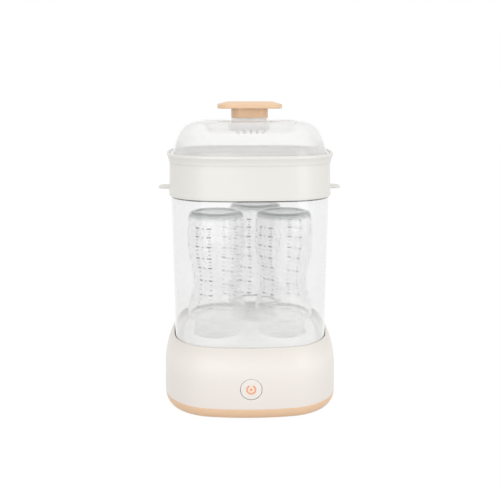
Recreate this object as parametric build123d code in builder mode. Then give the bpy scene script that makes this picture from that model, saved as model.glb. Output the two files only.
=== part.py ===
from build123d import *
import math
import os

# Electric steam steriliser for feeding bottles.
# Millimetres, +Z up. The origin is on the floor under the middle of the base; the button faces -Y.

# ---- plan outline shared by the square pieces ----
corner_centre = 36.7      # the corner arcs are centred this far out along X and along Y
corner_gap = 2.9          # how far a corner arc stops short of the side's half width

# ---- fits ----
lift_gap = 0.6            # between pieces that lift out of each other
snug_gap = 0.1            # between pieces that are fixed together
button_gap = 0.45         # visible gap around the button
plunger_gap = 0.06        # running fit of the switch plunger
thread_gap = 0.05         # screw shank in its hole

# ---- base ----
base_half = 100.0         # half width of the base at its widest
foot_stand = 1.2          # the rubber feet hold the shell this far off the floor
shell_height = 11.3       # tan bottom shell
shell_toe = 4.2           # how far the shell's side runs in towards the floor
shell_floor = 2.5
base_wall = 2.6
housing_height = 65.7     # from the shell joint to the rim
wall_height = 29.5        # straight part of the housing wall, above the joint
wall_draft = 0.65         # how far that part leans in
rim_lip = 1.0             # flat top of the rim
seat_depth = 12.2         # chamber seat below the rim
seat_width = 6.0
deck_drop = 4.0           # deck below the chamber seat
deck_thickness = 2.5

# ---- water well and heater ----
well_radius = 54.0
well_depth = 14.0
well_ledge = 8.0          # ring of floor left round the heater opening
seal_thickness = 1.2
plate_thickness = 1.0
plate_dish = 4.0          # depth of the dished middle of the heater plate
plate_draft = 3.0         # how far the dish wall leans in
plate_bend = 1.6
clamp_thickness = 2.0
clamp_screws_count = 4
element_radius = 27.0
tube_radius = 4.0
element_flat = 1.0        # flat brazed to the plate
terminal_radius = 1.6
terminal_length = 14.0
terminal_inset = 10.0     # degrees from each end of the ring
element_sweep = 310.0     # degrees of ring, open at the back
thermostat_radius = 8.0
thermostat_height = 7.0
thermostat_flange = 11.0
thermostat_round = 0.6

# ---- feet and screws ----
foot_radius = 9.0
foot_recess = 1.4
foot_round = 0.5
foot_place = 64.0
boss_place = 50.0
boss_radius = 4.5
screw_radius = 1.5
screw_grip = 14.0
head_radius = 3.0
head_height = 1.6

# ---- floor vents ----
vent_width = 2.4
vent_length = 22.0
vent_count = 5
vent_pitch = 7.0

# ---- button and control board ----
button_radius = 11.45
button_level = 35.4
button_depth = 8.0
button_skin = 1.8
button_round = 0.6        # rounded edge of the cap
button_travel = 1.2
guide_wall = 2.0
guide_length = 6.0
board_width = 58.0
board_height = 34.0
board_thickness = 1.6
board_setback = 13.0      # front of the board behind the button face
post_radius = 3.0
post_place = 24.0
board_screw_grip = 6.0
switch_size = 6.0
switch_height = 3.4
plunger_radius = 1.4
plunger_reach = 1.2       # how far the plunger stands in the switch at rest
plunger_room = 0.4        # left behind the plunger at full press
guide_radius = 7.0
led_radius = 2.4
led_length = 3.2
led_round = 1.0

# ---- cord inlet ----
inlet_level = 27.0
cord_radius = 3.6
grommet_radius = 7.0
grommet_flange = 10.5
grommet_face = 1.2
grommet_grip = 3.0        # wall held between the grommet's two flanges
grommet_bead = 1.5
bead_width = 1.4
grommet_length = 12.0
grommet_round = 0.5
block_width = 30.0
block_depth = 17.0
block_height = 15.0
terminal_ways = 3
terminal_hole = 1.6       # radius of a screw hole in the block
block_setback = 24.0      # back of the terminal block in front of the rear wall

# ---- clear chamber ----
chamber_half = 87.6       # at the foot
chamber_draft = 1.3       # how much wider each side stands at the top
chamber_wall = 2.2
chamber_height = 174.0
chamber_foot = 4.3        # width of the stiffening flange at the bottom

# ---- bottle rack ----
rack_gap = 5.0            # finger room between the rack and the chamber's foot flange
rack_stand = 7.6
rack_plate = 2.4
rack_skirt = 2.2
socket_gap = 0.6          # round the bottle collar
socket_wall = 1.8
socket_height = 5.0
steam_radius = 17.0       # opening under each bottle mouth
drain_width = 3.6
drain_length = 9.0
drain_places = ((0, -60), (-46, 44), (58, 44), (-6, -2))
notch_width = 70.0        # water openings in the rack's skirt

# ---- bottles, mouth down ----
bottle_places = {"bottle_left": (-38.0, -26.0), "bottle_right": (38.0, -26.0), "bottle_rear": (7.5, 36.0)}
neck_radius = 24.8
neck_height = 22.5
collar_radius = 26.0
collar_height = 2.4
bulge_radius = 33.2
bulge_level = 29.0        # all bottle levels are above the mouth
waist_radius = 25.9
waist_level = 64.5
body_radius = 32.0
body_level = 111.0
bottle_height = 145.5
bottle_edge = 5.0
body_draft = 1.5
bottle_wall = 1.6
dimple_radius = 22.0
dimple_depth = 1.2

# ---- basket ----
basket_height = 42.8      # from the chamber's top edge to the basket rim
skirt_depth = 2.8         # how far the skirt reaches down outside the chamber
basket_lip = 1.2          # skirt thickness
lip_height = 4.8
lip_step = 0.3
basket_wall = 2.4
basket_draft = 1.1
flange_height = 9.8
flange_flare = 3.0
flange_step = 1.0          # ledge where the flange leaves the wall
flange_edge = 2.8
basket_floor = 2.5
floor_ring = 8.0          # width of the floor that is swept with the wall
slot_width = 3.6
slot_length = 26.0
slot_pitch_x = 34.0
slot_pitch_y = 10.0
slot_columns = 4
slot_rows = 13
tab_reach = 12.6          # beyond the skirt
tab_width = 26.0
tab_thickness = 2.4
tab_corner = 8.0
tab_level = 0.6           # underside of the tab above the chamber's top edge

# ---- lid ----
lid_wall = 2.0
lid_flange = 2.9          # how far the flange stands out from the wall
flange_thickness = 2.0
lid_land = 2.1            # width of the ledge that carries the lid
lid_skirt = 5.0           # reach of the wall below the flange
side_lean = 0.1           # inward slope of the dome's side where it leaves the flange
lean_height = 26.0        # above the lid ledge, where the side turns into the shoulder
lean_in = 8.5
shoulder_height = 9.2
shoulder_in = 13.0
crest_rise = 0.9
crest_in = 11.8
dish_depth = 10.6
dish_corner_centre = 27.0
dish_slope = 27.0         # degrees off upright
dish_edge = 2.6           # rounding of the dish, top and bottom
boss_half = 20.5
boss_rise = 2.8           # above the crest
boss_flare = 16.0         # degrees
vent_holes = 5
vent_hole_pitch = 6.6
vent_hole_width = 3.4
vent_hole_length = 4.8
vent_tilt = 38.0          # degrees above level

# ---- knob ----
knob_half = 36.0
knob_edge = 4.8
knob_crown = 2.8
crown_in = 11.0
knob_round = 1.2
stem_height = 10.0
stem_corner_centre = 9.0
stem_corner_gap = 0.6
knob_corner_centre = 20.0
knob_corner_gap = 1.2
knob_screw_radius = 2.0
knob_screw_length = 14.0
knob_head_radius = 4.2
knob_head_height = 2.6
knob_seal_radius = 6.5
knob_seal_thickness = 1.2

# ---- levels worked out from the sizes above ----
joint_level = foot_stand + shell_height
rim_level = joint_level + housing_height
seat_level = rim_level - seat_depth
deck_level = seat_level - deck_drop
well_floor = deck_level - well_depth
chamber_top = seat_level + chamber_height
rack_level = deck_level + rack_stand + rack_plate
basket_rim = chamber_top + basket_height
lid_ledge = basket_rim - flange_thickness - 0.5
crest_level = lid_ledge + lean_height + shoulder_height + crest_rise
dish_level = crest_level - dish_depth
boss_top = crest_level + boss_rise
knob_under = boss_top + stem_height
heater_top = well_floor + seal_thickness
heater_under = heater_top - plate_dish
clamp_under = well_floor - deck_thickness - clamp_thickness

# ---- half widths worked out from the sizes above ----
rim_half = chamber_half + lift_gap
seat_half = rim_half - seat_width
rack_half = chamber_half - chamber_foot - rack_gap
chamber_head = chamber_half + chamber_draft
skirt_inner = chamber_head + lift_gap
skirt_outer = skirt_inner + basket_lip
wall_foot = skirt_outer - lip_step
wall_head = wall_foot - basket_draft
floor_seam = wall_foot - basket_wall - floor_ring
flange_half = wall_head + flange_flare
basket_inner = wall_head - basket_wall
ledge_outer = basket_inner + lid_land
lid_half = ledge_outer - lift_gap - lid_flange
dish_half = lid_half - lean_in - shoulder_in - crest_in
heater_opening = well_radius - well_ledge
clamp_place = heater_opening + well_ledge / 2

# ---- places along Y of what the front and rear walls carry ----
button_face = -(base_half - wall_draft * (button_level - joint_level) / wall_height)
board_face = button_face + board_setback
button_back = button_face + button_depth
switch_face = board_face - switch_height
plunger_level = button_level - button_radius + plunger_radius + snug_gap
rear_face = base_half - wall_draft * (inlet_level - joint_level) / wall_height
pad_face = rear_face - grommet_face - grommet_grip
guide_bore = button_radius + button_gap


def outline(half, centre=corner_centre, gap=corner_gap):
    """Rounded square of tangent arcs: four bowed sides and four corners."""
    corner_radius = half - centre - gap
    side_radius = (centre**2 + (half - centre)**2 - corner_radius**2) / (2 * gap)
    swing = math.degrees(math.atan2(centre, centre + side_radius - half))
    with BuildLine() as line:
        for turn in range(0, 360, 90):
            side = Vector(half - side_radius, 0).rotate(Axis.Z, turn)
            corner = Vector(centre, centre).rotate(Axis.Z, turn)
            next_side = Vector(half - side_radius, 0).rotate(Axis.Z, turn + 90)
            CenterArc(side, side_radius, turn, swing)
            CenterArc(corner, corner_radius, turn + swing, 90 - 2 * swing)
            CenterArc(next_side, side_radius, turn + 90 - swing, swing)
    return line.line


def plate(level, half, centre=corner_centre, gap=corner_gap):
    """Filled outline lying at a level."""
    with BuildSketch(Plane.XY.offset(level)) as sketch:
        add(outline(half, centre, gap))
        make_face()
    return sketch.sketch


def disc(level, radius, places=((0, 0),)):
    """Round faces lying at a level, one at each place."""
    with BuildSketch(Plane.XY.offset(level)) as sketch:
        with Locations(*places):
            Circle(radius)
    return sketch.sketch


def upright_disc(y, level, radius, places=(0,)):
    """Round faces standing across Y, one at each X; they extrude towards the front (-Y)."""
    with BuildSketch(Plane.XZ.offset(-y)) as sketch:
        with Locations(*[(x, level) for x in places]):
            Circle(radius)
    return sketch.sketch


def four(place):
    """Four places, one in each corner of the base."""
    return [(x, y) for x in (-place, place) for y in (-place, place)]


def save(piece, name):
    piece.part.label = name
    export_step(piece.part, f"parts/{name}.step")


os.makedirs("parts", exist_ok=True)
base_path = outline(base_half)

# ---- bottom shell: tan tray that closes the base from below ----
shell_top = foot_stand + shell_floor
floor_half = base_half - shell_toe - base_wall
with BuildPart() as bottom_shell:
    with BuildSketch(Plane.XZ):
        with BuildLine():
            toe = (base_half - shell_toe, foot_stand)
            side = TangentArc((base_half, joint_level), toe, tangent=(0, -1))
            Polyline(
                side @ 1,
                (floor_half - base_wall, foot_stand),
                (floor_half - base_wall, shell_top),
                (floor_half, shell_top),
                (base_half - base_wall, shell_top + base_wall),
                (base_half - base_wall, joint_level),
                side @ 0,
            )
        make_face()
    sweep(path=base_path)
    extrude(plate(foot_stand, floor_half - base_wall + snug_gap), amount=shell_floor)
    extrude(disc(foot_stand, foot_radius + snug_gap, four(foot_place)), amount=foot_recess,
            mode=Mode.SUBTRACT)
    extrude(disc(foot_stand, head_radius + snug_gap, four(boss_place)), amount=head_height,
            mode=Mode.SUBTRACT)
    extrude(disc(foot_stand, screw_radius + thread_gap, four(boss_place)), amount=shell_floor,
            mode=Mode.SUBTRACT)
    with BuildSketch(Plane.XY.offset(foot_stand)):
        with GridLocations(vent_pitch, 0, vent_count, 1):
            Rectangle(vent_width, vent_length)
    extrude(amount=shell_floor, mode=Mode.SUBTRACT)
save(bottom_shell, "bottom_shell")

# ---- rubber feet and the screws that hold the shell ----
with BuildPart() as feet:
    extrude(disc(0, foot_radius, four(foot_place)), amount=foot_stand + foot_recess)
    fillet(feet.faces().group_by(Axis.Z)[0].edges(), foot_round)
save(feet, "feet")

with BuildPart() as shell_screws:
    extrude(disc(foot_stand, head_radius, four(boss_place)), amount=head_height)
    extrude(disc(foot_stand, screw_radius, four(boss_place)), amount=screw_grip)
save(shell_screws, "shell_screws")

# ---- housing: bowed outer wall that rolls over into the rim, chamber seat, deck and water well ----
wall_middle = base_wall / 2
with BuildPart() as base_housing:
    with BuildSketch(Plane.XZ):
        with BuildLine():
            wall = Line((base_half, joint_level), (base_half - wall_draft, joint_level + wall_height))
            TangentArc(wall @ 1, (rim_half + rim_lip, rim_level), tangent=wall % 1)
            offset(amount=base_wall, side=Side.LEFT, closed=True)
        make_face()
        with BuildLine():
            Polyline(
                (rim_half + rim_lip, rim_level),
                (rim_half, rim_level),
                (rim_half, seat_level),
                (seat_half, seat_level),
                (seat_half, deck_level),
                (seat_half - deck_thickness, deck_level),
                (seat_half - deck_thickness, deck_level - deck_thickness),
                (seat_half + deck_thickness, deck_level - deck_thickness),
                (seat_half + deck_thickness, seat_level - deck_thickness),
                (rim_half + deck_thickness, seat_level - deck_thickness),
                (rim_half + deck_thickness, rim_level - 2 * base_wall),
                (rim_half + rim_lip, rim_level),
            )
        make_face()
        # square off the skin at the shell joint and along the rim's inner face
        with Locations((base_half, joint_level)):
            Rectangle(4 * base_wall, base_wall, align=(Align.CENTER, Align.MAX), mode=Mode.SUBTRACT)
        with Locations((rim_half, seat_level)):
            Rectangle(seat_width, seat_depth, align=(Align.MAX, Align.MIN), mode=Mode.SUBTRACT)
    sweep(path=base_path)
    extrude(plate(deck_level, seat_half - deck_thickness + snug_gap), amount=-deck_thickness)
    extrude(disc(deck_level, well_radius), amount=-deck_thickness, mode=Mode.SUBTRACT)
    with BuildSketch(Plane.XZ):
        with BuildLine():
            Polyline(
                (well_radius, deck_level),
                (well_radius, well_floor),
                (heater_opening, well_floor),
                (heater_opening, well_floor - deck_thickness),
                (well_radius + deck_thickness, well_floor - deck_thickness),
                (well_radius + deck_thickness, deck_level),
                close=True,
            )
        make_face()
    revolve(axis=Axis.Z)
    extrude(disc(shell_top, boss_radius, four(boss_place)), until=Until.NEXT)
    extrude(disc(shell_top, screw_radius + thread_gap, four(boss_place)), amount=screw_grip,
            mode=Mode.SUBTRACT)
    with BuildSketch(Plane.XY.offset(well_floor)):
        with PolarLocations(clamp_place, clamp_screws_count):
            Circle(screw_radius + thread_gap)
    extrude(amount=-deck_thickness, mode=Mode.SUBTRACT)
    # button guide and board posts
    extrude(upright_disc(button_face + base_wall + guide_length, button_level, guide_bore + guide_wall),
            amount=guide_length + wall_middle)
    extrude(upright_disc(board_face, button_level, post_radius, (-post_place, post_place)),
            amount=board_setback - wall_middle)
    extrude(upright_disc(button_face + base_wall + guide_length, button_level, guide_bore),
            amount=2 * (base_wall + guide_length), mode=Mode.SUBTRACT)
    extrude(upright_disc(board_face, button_level, screw_radius + thread_gap, (-post_place, post_place)),
            amount=board_screw_grip + snug_gap, mode=Mode.SUBTRACT)
    # cord inlet: a pad inside the rear wall, bored for the grommet and sunk for its flange
    extrude(upright_disc(rear_face - wall_middle, inlet_level, grommet_flange + base_wall),
            amount=rear_face - wall_middle - pad_face)
    extrude(upright_disc(rear_face + base_wall, inlet_level, grommet_radius + snug_gap),
            amount=grommet_length, mode=Mode.SUBTRACT)
    extrude(upright_disc(rear_face + base_wall, inlet_level, grommet_flange + snug_gap),
            amount=base_wall + grommet_face, mode=Mode.SUBTRACT)
save(base_housing, "base_housing")

# ---- water heater under the well ----
with BuildPart() as heater_seal:
    with BuildSketch(Plane.XY.offset(well_floor)):
        Circle(well_radius - snug_gap)
        Circle(heater_opening, mode=Mode.SUBTRACT)
        with PolarLocations(clamp_place, clamp_screws_count):
            Circle(screw_radius + thread_gap, mode=Mode.SUBTRACT)
    extrude(amount=seal_thickness)
save(heater_seal, "heater_seal")

dish_wall_radius = heater_opening - lift_gap - plate_thickness
with BuildPart() as heater_plate:
    with BuildSketch(Plane.XZ):
        with BuildLine():
            FilletPolyline(
                (well_radius - snug_gap, heater_top + plate_thickness),
                (dish_wall_radius, heater_top + plate_thickness),
                (dish_wall_radius - plate_draft, heater_under + plate_thickness),
                (0, heater_under + plate_thickness),
                radius=plate_bend,
            )
            offset(amount=plate_thickness, side=Side.LEFT, closed=True)
        make_face()
    revolve(axis=Axis.Z)
save(heater_plate, "heater_plate")

with BuildPart() as clamp_ring:
    with BuildSketch(Plane.XY.offset(clamp_under)):
        Circle(well_radius + deck_thickness)
        Circle(heater_opening, mode=Mode.SUBTRACT)
        with PolarLocations(clamp_place, clamp_screws_count):
            Circle(screw_radius + thread_gap, mode=Mode.SUBTRACT)
    extrude(amount=clamp_thickness)
save(clamp_ring, "clamp_ring")

with BuildPart() as clamp_screws:
    with BuildSketch(Plane.XY.offset(clamp_under)):
        with PolarLocations(clamp_place, clamp_screws_count):
            Circle(screw_radius)
    extrude(amount=heater_top - clamp_under)
    with BuildSketch(Plane.XY.offset(clamp_under)):
        with PolarLocations(clamp_place, clamp_screws_count):
            RegularPolygon(head_radius, 6)
    extrude(amount=-head_height)
save(clamp_screws, "clamp_screws")

tube_level = heater_under - tube_radius + element_flat
with BuildPart() as heating_element:
    with BuildSketch(Plane.XZ):
        with Locations((element_radius, tube_level)):
            Circle(tube_radius)
        with Locations((element_radius, heater_under + tube_radius)):
            Rectangle(2 * tube_radius, 2 * tube_radius, mode=Mode.SUBTRACT)
    revolve(axis=Axis.Z, revolution_arc=element_sweep)
    with BuildSketch(Plane.XY.offset(tube_level)):
        for angle in (terminal_inset, element_sweep - terminal_inset):
            with Locations(Vector(element_radius, 0).rotate(Axis.Z, angle)):
                Circle(terminal_radius)
    extrude(amount=-terminal_length)
save(heating_element, "heating_element")

with BuildPart() as thermostat:
    extrude(disc(heater_under, thermostat_flange), amount=-plate_thickness)
    extrude(disc(heater_under, thermostat_radius), amount=-thermostat_height)
    fillet(thermostat.faces().sort_by(Axis.Z)[0].edges(), thermostat_round)
save(thermostat, "thermostat")

# ---- button, light guide and the board behind them ----
with BuildPart() as power_button:
    extrude(upright_disc(button_back, button_level, button_radius), amount=button_depth)
    fillet(power_button.faces().sort_by(Axis.Y)[0].edges(), button_round)
    extrude(upright_disc(button_back, button_level, button_radius - button_skin),
            amount=button_depth - button_skin, mode=Mode.SUBTRACT)
save(power_button, "power_button")

with BuildPart() as light_guide:
    extrude(upright_disc(button_back, button_level, guide_radius), amount=button_depth - button_skin)
save(light_guide, "light_guide")

with BuildPart() as switch_plunger:
    extrude(upright_disc(switch_face + plunger_reach, plunger_level, plunger_radius),
            amount=switch_face + plunger_reach - button_back)
save(switch_plunger, "switch_plunger")

with BuildPart() as button_switch:
    with BuildSketch(Plane.XZ.offset(-board_face)):
        with Locations((0, plunger_level)):
            Rectangle(switch_size, switch_size)
    extrude(amount=switch_height)
    extrude(upright_disc(switch_face + plunger_reach + button_travel + plunger_room, plunger_level,
                         plunger_radius + plunger_gap), amount=switch_height, mode=Mode.SUBTRACT)
save(button_switch, "button_switch")

with BuildPart() as indicator_led:
    extrude(upright_disc(board_face, button_level, led_radius), amount=led_length)
    fillet(indicator_led.faces().sort_by(Axis.Y)[0].edges(), led_round)
save(indicator_led, "indicator_led")

with BuildPart() as control_board:
    with BuildSketch(Plane.XZ.offset(-board_face)):
        with Locations((0, button_level)):
            Rectangle(board_width, board_height)
        with Locations((-post_place, button_level), (post_place, button_level)):
            Circle(screw_radius + thread_gap, mode=Mode.SUBTRACT)
    extrude(amount=-board_thickness)
save(control_board, "control_board")

board_back = board_face + board_thickness
with BuildPart() as board_screws:
    extrude(upright_disc(board_back + head_height, button_level, head_radius, (-post_place, post_place)),
            amount=head_height)
    extrude(upright_disc(board_back, button_level, screw_radius, (-post_place, post_place)),
            amount=board_thickness + board_screw_grip)
save(board_screws, "board_screws")

# ---- cord inlet grommet and the terminal block behind it; no cord ----
with BuildPart() as cord_grommet:
    extrude(upright_disc(rear_face, inlet_level, grommet_flange), amount=grommet_face)
    extrude(upright_disc(rear_face, inlet_level, grommet_radius), amount=grommet_length)
    extrude(upright_disc(pad_face, inlet_level, grommet_radius + bead_width), amount=grommet_bead)
    fillet(cord_grommet.faces().sort_by(Axis.Y)[-1].edges(), grommet_round)
    extrude(upright_disc(rear_face, inlet_level, cord_radius), amount=grommet_length, mode=Mode.SUBTRACT)
save(cord_grommet, "cord_grommet")

with BuildPart() as terminal_block:
    with BuildSketch(Plane.XY.offset(shell_top)):
        with Locations((0, rear_face - block_setback - block_depth / 2)):
            Rectangle(block_width, block_depth)
    extrude(amount=block_height)
    with BuildSketch(Plane.XY.offset(shell_top + block_height)):
        with Locations((0, rear_face - block_setback - block_depth / 2)):
            with GridLocations(block_width / terminal_ways, 0, terminal_ways, 1):
                Circle(terminal_hole)
    extrude(amount=-block_height / 2, mode=Mode.SUBTRACT)
save(terminal_block, "terminal_block")

# ---- clear chamber: an open sleeve with a stiffening flange at the foot ----
foot_inner = chamber_half - chamber_foot
with BuildPart() as chamber:
    with BuildSketch(Plane.XZ):
        with BuildLine():
            Polyline(
                (chamber_half, seat_level),
                (chamber_head, chamber_top),
                (chamber_head - chamber_wall, chamber_top),
                (chamber_half - chamber_wall, seat_level + chamber_foot),
                (foot_inner, seat_level + chamber_wall),
                (foot_inner, seat_level),
                close=True,
            )
        make_face()
    sweep(path=base_path)
save(chamber, "chamber")

# ---- bottle rack: plate on a notched skirt, a socket ring and a steam hole for each bottle ----
socket_bore = collar_radius + socket_gap
with BuildPart() as bottle_rack:
    extrude(plate(rack_level, rack_half), amount=-rack_plate)
    with BuildSketch(Plane.XY.offset(deck_level)):
        add(plate(0, rack_half))
        add(plate(0, rack_half - rack_skirt), mode=Mode.SUBTRACT)
        Rectangle(notch_width, 2 * rack_half, mode=Mode.SUBTRACT)
        Rectangle(2 * rack_half, notch_width, mode=Mode.SUBTRACT)
    extrude(amount=rack_stand)
    extrude(disc(rack_level, socket_bore + socket_wall, bottle_places.values()), amount=socket_height)
    extrude(disc(rack_level, socket_bore, bottle_places.values()), amount=socket_height, mode=Mode.SUBTRACT)
    extrude(disc(rack_level, steam_radius, bottle_places.values()), amount=-rack_plate, mode=Mode.SUBTRACT)
    with BuildSketch(Plane.XY.offset(rack_level)):
        with Locations(*drain_places):
            SlotOverall(drain_length, drain_width)
    extrude(amount=-rack_plate, mode=Mode.SUBTRACT)
save(bottle_rack, "bottle_rack")

# ---- feeding bottles, standing mouth down in the rack ----
for name, (x, y) in bottle_places.items():
    with BuildPart() as bottle:
        with BuildSketch(Plane(origin=(x, y, rack_level), x_dir=(1, 0, 0), z_dir=(0, -1, 0))):
            with BuildLine():
                neck = Polyline(
                    (0, 0),
                    (neck_radius, 0),
                    (neck_radius, neck_height - collar_height),
                    (collar_radius, neck_height - collar_height),
                    (collar_radius, neck_height),
                )
                TangentArc((bulge_radius, bulge_level), neck @ 1, tangent=(0, -1))
                waist_in = ((bulge_radius + waist_radius) / 2, (bulge_level + waist_level) / 2)
                TangentArc((bulge_radius, bulge_level), waist_in, tangent=(0, 1))
                TangentArc((waist_radius, waist_level), waist_in, tangent=(0, -1))
                waist_out = ((body_radius + waist_radius) / 2, (body_level + waist_level) / 2)
                TangentArc((waist_radius, waist_level), waist_out, tangent=(0, 1))
                TangentArc((body_radius, body_level), waist_out, tangent=(0, -1))
                base_radius = body_radius - body_draft
                side_end = (base_radius, bottle_height - bottle_edge)
                side = TangentArc((body_radius, body_level), side_end, tangent=(0, 1))
                edge = TangentArc(side @ 1, (base_radius - bottle_edge, bottle_height), tangent=side % 1)
                Polyline(
                    edge @ 1,
                    (dimple_radius, bottle_height),
                    (dimple_radius - dimple_depth, bottle_height - dimple_depth),
                    (0, bottle_height - dimple_depth),
                    (0, 0),
                )
            make_face()
        revolve(axis=Axis((x, y, 0), (0, 0, 1)))
        offset(amount=-bottle_wall, openings=bottle.faces().sort_by(Axis.Z)[0])
    save(bottle, name)

# ---- basket: drafted wall with a skirt outside the chamber, flared rim, slotted floor and side tabs ----
with BuildPart() as basket:
    with BuildSketch(Plane.XZ):
        with BuildLine():
            skirt = Polyline(
                (skirt_inner, chamber_top),
                (skirt_inner, chamber_top - skirt_depth),
                (skirt_outer, chamber_top - skirt_depth),
                (skirt_outer, chamber_top - skirt_depth + lip_height),
                (wall_foot, chamber_top - skirt_depth + lip_height + lip_step),
                (wall_head, basket_rim - flange_height),
            )
            flange_foot = (wall_head + flange_step, basket_rim - flange_height)
            Line(skirt @ 1, flange_foot)
            flare = TangentArc(flange_foot, (flange_half, basket_rim - flange_edge), tangent=skirt % 1)
            Polyline(
                flare @ 1,
                (flange_half, basket_rim),
                (ledge_outer, basket_rim),
                (ledge_outer, lid_ledge),
                (basket_inner, lid_ledge),
                (basket_inner, basket_rim - flange_height),
                (wall_foot - basket_wall, chamber_top + basket_floor),
                (floor_seam, chamber_top + basket_floor),
                (floor_seam, chamber_top),
                (skirt_inner, chamber_top),
            )
        make_face()
    sweep(path=base_path)
    extrude(plate(chamber_top, floor_seam + snug_gap), amount=basket_floor)
    with BuildSketch(Plane.XY.offset(chamber_top)):
        with GridLocations(slot_pitch_x, slot_pitch_y, slot_columns, slot_rows):
            Rectangle(slot_length, slot_width)
    extrude(amount=basket_floor, mode=Mode.SUBTRACT)
    with BuildSketch(Plane.XY.offset(chamber_top + tab_level)) as tab:
        with Locations((skirt_outer + (tab_reach - basket_lip) / 2, 0)):
            Rectangle(tab_reach + basket_lip, tab_width)
        fillet(tab.vertices().group_by(Axis.X)[-1], tab_corner)
        mirror(about=Plane.YZ)
    extrude(amount=tab_thickness)
save(basket, "basket")

# ---- lid: dished roof on a domed wall, with a flange, a skirt, a hollow boss and five vents ----
roof_half = dish_half + dish_edge
dish_run = math.tan(math.radians(dish_slope))
dish_floor_half = dish_half - dish_depth * dish_run
with BuildPart() as lid:
    extrude(plate(crest_level, roof_half + snug_gap), amount=-lid_wall)
    extrude(plate(dish_level - lid_wall, dish_floor_half + lid_wall, dish_corner_centre),
            amount=dish_depth, taper=-dish_slope)
    extrude(plate(dish_level, dish_floor_half, dish_corner_centre),
            amount=dish_depth, taper=-dish_slope, mode=Mode.SUBTRACT)
    level_faces = lid.faces().filter_by(Plane.XY).sort_by(Axis.Z)
    floor_rim = level_faces.filter_by_position(Axis.Z, dish_level - snug_gap, dish_level + snug_gap)
    roof_rim = level_faces[-1].inner_wires()
    fillet(floor_rim.edges() + roof_rim.edges(), dish_edge)
    with BuildSketch(Plane.XZ):
        with BuildLine():
            skirt = Line((lid_half, lid_ledge - lid_skirt), (lid_half, lid_ledge + flange_thickness))
            lean_end = (lid_half - lean_in, lid_ledge + lean_height)
            side = TangentArc(skirt @ 1, lean_end, tangent=(-side_lean, 1))
            shoulder = TangentArc(
                side @ 1,
                (lid_half - lean_in - shoulder_in, lid_ledge + lean_height + shoulder_height),
                tangent=side % 1,
            )
            TangentArc(shoulder @ 1, (roof_half, crest_level), tangent=shoulder % 1)
            offset(amount=lid_wall, side=Side.LEFT, closed=True)
        make_face()
        with Locations((lid_half, lid_ledge)):
            Rectangle(lid_wall, flange_thickness, align=(Align.MAX, Align.MIN))
            Rectangle(lid_flange, flange_thickness, align=(Align.MIN, Align.MIN))
    sweep(path=base_path)
    boss_foot = boss_half + (boss_top - dish_level) * math.tan(math.radians(boss_flare))
    extrude(plate(dish_level, boss_foot, stem_corner_centre, stem_corner_gap),
            amount=boss_top - dish_level, taper=boss_flare)
    extrude(plate(dish_level - lid_wall, boss_foot - lid_wall, stem_corner_centre, stem_corner_gap),
            amount=boss_top - dish_level, taper=boss_flare, mode=Mode.SUBTRACT)
    extrude(disc(boss_top, knob_screw_radius + thread_gap), amount=-2 * lid_wall, mode=Mode.SUBTRACT)
    tilt = math.radians(vent_tilt)
    vents = Plane(
        origin=(0, lean_in - lid_half, lid_ledge + lean_height),
        x_dir=(1, 0, 0),
        z_dir=(0, -math.cos(tilt), math.sin(tilt)),
    )
    with BuildSketch(vents):
        with GridLocations(vent_hole_pitch, 0, vent_holes, 1):
            SlotOverall(vent_hole_length, vent_hole_width, rotation=90)
    extrude(amount=2 * lid_wall, both=True, mode=Mode.SUBTRACT)
save(lid, "lid")

# ---- knob: crowned plate on a stem, screwed to the lid from below ----
with BuildPart() as knob:
    extrude(plate(boss_top, boss_half, stem_corner_centre, stem_corner_gap), amount=stem_height)
    extrude(plate(knob_under, knob_half, knob_corner_centre, knob_corner_gap), amount=knob_edge + knob_crown)
    top = knob.faces().sort_by(Axis.Z)[-1]
    chamfer(top.edges(), length=knob_crown, length2=crown_in)
    fillet(knob.faces().sort_by(Axis.Z)[-1].edges(), knob_round)
    extrude(disc(boss_top, knob_screw_radius + thread_gap), amount=knob_screw_length - lid_wall + snug_gap,
            mode=Mode.SUBTRACT)
save(knob, "knob")

seal_under = boss_top - lid_wall - knob_seal_thickness
with BuildPart() as knob_seal:
    with BuildSketch(Plane.XY.offset(seal_under)):
        Circle(knob_seal_radius)
        Circle(knob_screw_radius + thread_gap, mode=Mode.SUBTRACT)
    extrude(amount=knob_seal_thickness)
save(knob_seal, "knob_seal")

with BuildPart() as knob_screw:
    extrude(disc(seal_under, knob_head_radius), amount=-knob_head_height)
    extrude(disc(seal_under, knob_screw_radius), amount=knob_screw_length)
save(knob_screw, "knob_screw")
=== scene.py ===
# %% [markdown]
# A steam steriliser for feeding bottles, dressed in Blender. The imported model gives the
# real size, the place and the motion of each part. This file gives each visible moulding
# a smooth mesh and a finish, and then adds light and a camera. Lengths are in metres.

# %% Load the frame
import math

import bpy
from mathutils import Matrix, Vector


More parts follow.
